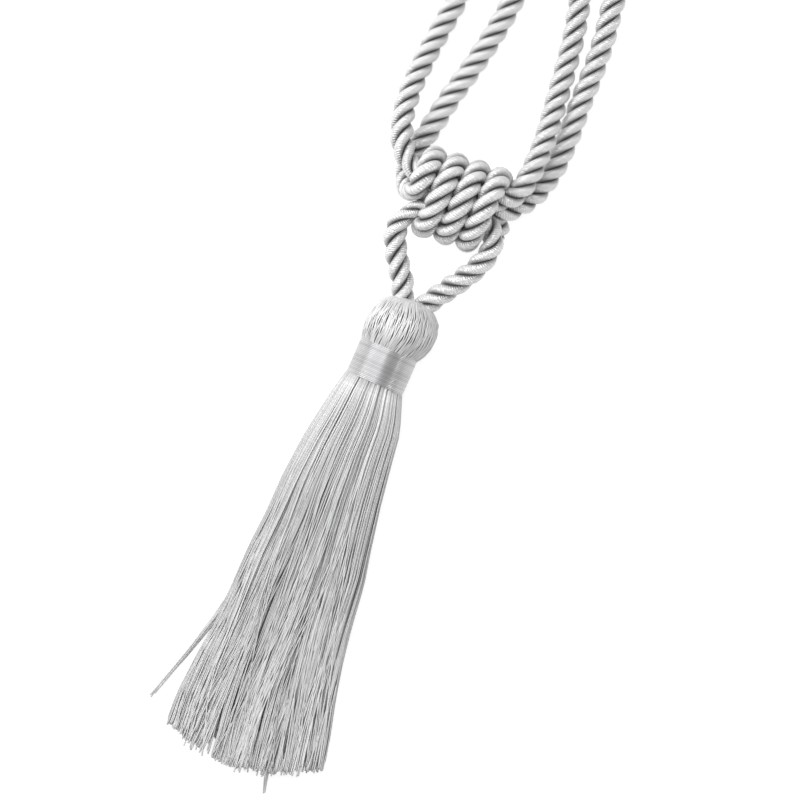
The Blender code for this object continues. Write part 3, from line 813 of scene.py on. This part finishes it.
# %% The middle lines of one layer of the skirt
def skirt_lines(count, depth, per_lock, sway, drift, seed):
    """Middle lines of one layer, and their tones; depth is the least and most way out to the outline."""
    rng = np.random.default_rng(seed)
    angle = np.sort(rng.uniform(-0.2 * math.pi, 1.2 * math.pi, count))[:, None]
    lock = np.minimum(np.cumsum(rng.random(count) < 1 / per_lock), count - 1)
    locks = lock[-1] + 1
    lock_middle = np.array([angle[lock == i].mean() for i in range(locks)])[lock][:, None]
    lock_out = rng.uniform(*depth, locks)[lock][:, None]
    lock_end = rng.normal(0, LOCK_ENDS, locks)[lock][:, None]
    part = np.append(np.linspace(0, 0.99, SKIRT_POINTS - 1), 1.0)[None]  # a short last step makes the tip
    fall = part**1.3
    gathered = (lock_middle - angle) * rng.uniform(0.2, 0.75, locks)[lock][:, None]
    own = rng.normal(0, 1, (count, 3))
    wander = own[:, :1] * np.sin(2.6 * part + own[:, 2:])
    wander = wander + 0.5 * own[:, 1:2] * np.sin(7.0 * part + 5 * own[:, 2:])
    angle = angle + fall * (gathered + lock_sway(rng, locks, part, sway)[lock] + drift * wander)
    bow = END_BOW * (row_at(SKIRT, END_Y)[3] * np.cos(angle[:, -1:])) ** 2
    end = END_Y + bow + lock_end + rng.normal(0, THREAD_ENDS, (count, 1))
    y = TOP_Y + (end - TOP_Y) * part
    out = (1 - fall) * rng.uniform(*depth, (count, 1)) + fall * lock_out
    out = out + 0.02 * fall * rng.normal(0, 1, (count, 1))
    lines = place_in(SKIRT, y, angle, np.clip(out, 0.0, 1.015))
    lines[..., 2] = np.maximum(lines[..., 2], 0.3)  # none goes through the floor
    tone = rng.normal(SKIRT_TONE, TONE_OF_THREADS, (count, 1, 1))
    tone = tone + rng.normal(0, TONE_OF_LOCKS, locks)[lock][:, None, None]
    return lines, np.clip(tone, 0, 1)


print("the cut end's sides are", round(END_BOW * SKIRT[-1][3] ** 2, 1), "mm nearer the neck than its middle")

# %% Lay the skirt's four layers
SKIRT_LAYERS = (  # piece, threads, depth, threads to a lock, sway, drift, seed, radius
    ("skirt_crossing_threads", 110, (1.00, 1.02), 2, 0.32, 0.09, 14, 0.33),
    ("skirt_outer_threads", 300, (0.92, 1.00), 4, 0.15, 0.09, 11, 0.33),
    ("skirt_middle_threads", 520, (0.78, 0.95), 9, 0.10, 0.045, 12, 0.30),
    ("skirt_inner_threads", 600, (0.15, 0.82), 12, 0.11, 0.05, 13, 0.30),
)
SKIRT_SIDES = 4
FACES_UP = np.array((0.02, 0.0, 1.0))  # a little off straight up, so that no thread lies along it

for name, *layer, thread_radius in SKIRT_LAYERS:
    lines, tone = skirt_lines(*layer)
    radius = np.full(lines.shape[:2], thread_radius)
    outward = np.broadcast_to(FACES_UP, lines.shape)
    lay_threads(name, lines, radius, SKIRT_SIDES, outward, tone, loose_thread)

# %% [markdown]
# ## Threads that have strayed
#
# No tassel stays tidy. Some threads have worked loose at the left and stand off from the rest, and a few
# hang out below the cut end. They are what tells the eye that the rest is loose thread too.


# %% Stray threads
STRAY_LEFT = (
    (-30.5, -140, 6.5),
    (-36.0, -163, 5.6),
    (-42.6, -186, 3.9),
    (-50.6, -207, 2.4),
    (-59.0, -226.8, 1.2),
)
STRAY_BELOW = (
    (-8.0, -196, 12.0),
    (-6.4, -215, 11.0),
    (-5.4, -232, 8.0),
    (-4.6, -243, 3.6),
    (-3.6, -250.5, 0.8),
)
STRAY_TUFTS = ((STRAY_LEFT, 9, 1.1), (STRAY_BELOW, 3, 0.5))  # way, threads, how far they spread
STRAY_RADIUS, STRAY_SIDES, STRAY_TONE = 0.3, 5, 0.85


def stray_lines():
    fine = np.linspace(0, 1, SKIRT_POINTS)
    lines = []
    for way, count, spread in STRAY_TUFTS:
        route = [np.interp(fine, np.linspace(0, 1, len(way)), column) for column in np.array(way).T]
        for i in range(count):
            sideways = random.normal(0, spread, (1, 3)) * np.sin(2.2 * fine + 0.3 * i)[:, None]
            line = np.stack(route, axis=1) + sideways * (1, 0.6, 0.3)
            length = 1 - 0.06 * random.random()
            cut = [np.interp(fine * length, fine, column) for column in line.T]
            lines.append(np.stack(cut, axis=1))
    lines = np.array(lines)
    for _ in range(3):  # ease the bends
        lines[:, 1:-1] = 0.25 * lines[:, :-2] + 0.5 * lines[:, 1:-1] + 0.25 * lines[:, 2:]
    lines[..., 2] = np.maximum(lines[..., 2], 0.35)
    return lines


lines = stray_lines()
radius = np.full(lines.shape[:2], STRAY_RADIUS)
outward = np.broadcast_to(FACES_UP, lines.shape)
lay_threads("stray_threads", lines, radius, STRAY_SIDES, outward, STRAY_TONE, loose_thread)

# %% [markdown]
# ## Floor and light
#
# A plain pale floor and soft white light show the thread's own sheen. Two large lights, one at the left as
# from a window and one overhead, do most of the work, and a small one low at the right gives the gloss an
# edge. The floor glows a little of itself, which keeps the shadows on it very faint.

# %% Floor
FLOOR_WIDE, FLOOR_AT = 6, (0, 0, -0.0002)
FLOOR_GREY, FLOOR_GLOW = 0.25, 0.85

bpy.ops.mesh.primitive_plane_add(size=FLOOR_WIDE, location=FLOOR_AT)
floor = bpy.context.object
floor.name = "floor"
paper = bpy.data.materials.new("pale_paper")
paper.use_nodes = True
paper_shader = paper.node_tree.nodes["Principled BSDF"]
paper_shader.inputs["Base Color"].default_value = (FLOOR_GREY, FLOOR_GREY, FLOOR_GREY, 1)
paper_shader.inputs["Roughness"].default_value = 0.9
paper_shader.inputs["Emission Color"].default_value = (1, 1, 1, 1)
paper_shader.inputs["Emission Strength"].default_value = FLOOR_GLOW
floor.data.materials.append(paper)
print("floor", FLOOR_WIDE, "m across")


# %% Lights
LIGHT_AIM = (0, -0.08, 0)
SURROUND_BRIGHT = 0.30


def soft_light(name, place, size, watts):
    data = bpy.data.lights.new(name, "AREA")
    data.size = size
    data.energy = watts
    light = bpy.data.objects.new(name, data)
    light.location = place
    light.rotation_euler = (Vector(LIGHT_AIM) - Vector(place)).to_track_quat("-Z", "Y").to_euler()
    bpy.context.scene.collection.objects.link(light)
    print(name, watts, "W,", size, "m across")


soft_light("window_light", (-1.10, 0.30, 0.90), 1.0, 15)
soft_light("overhead_light", (-0.30, 0.25, 1.65), 0.9, 17)
soft_light("side_light", (0.95, -0.30, 0.62), 0.20, 2.2)
world = bpy.data.worlds.new("surround")
world.use_nodes = True
surround = world.node_tree.nodes["Background"]
surround.inputs["Color"].default_value = (1, 1, 1, 1)
surround.inputs["Strength"].default_value = SURROUND_BRIGHT
bpy.context.scene.world = world
bpy.context.scene.view_settings.view_transform = "Standard"
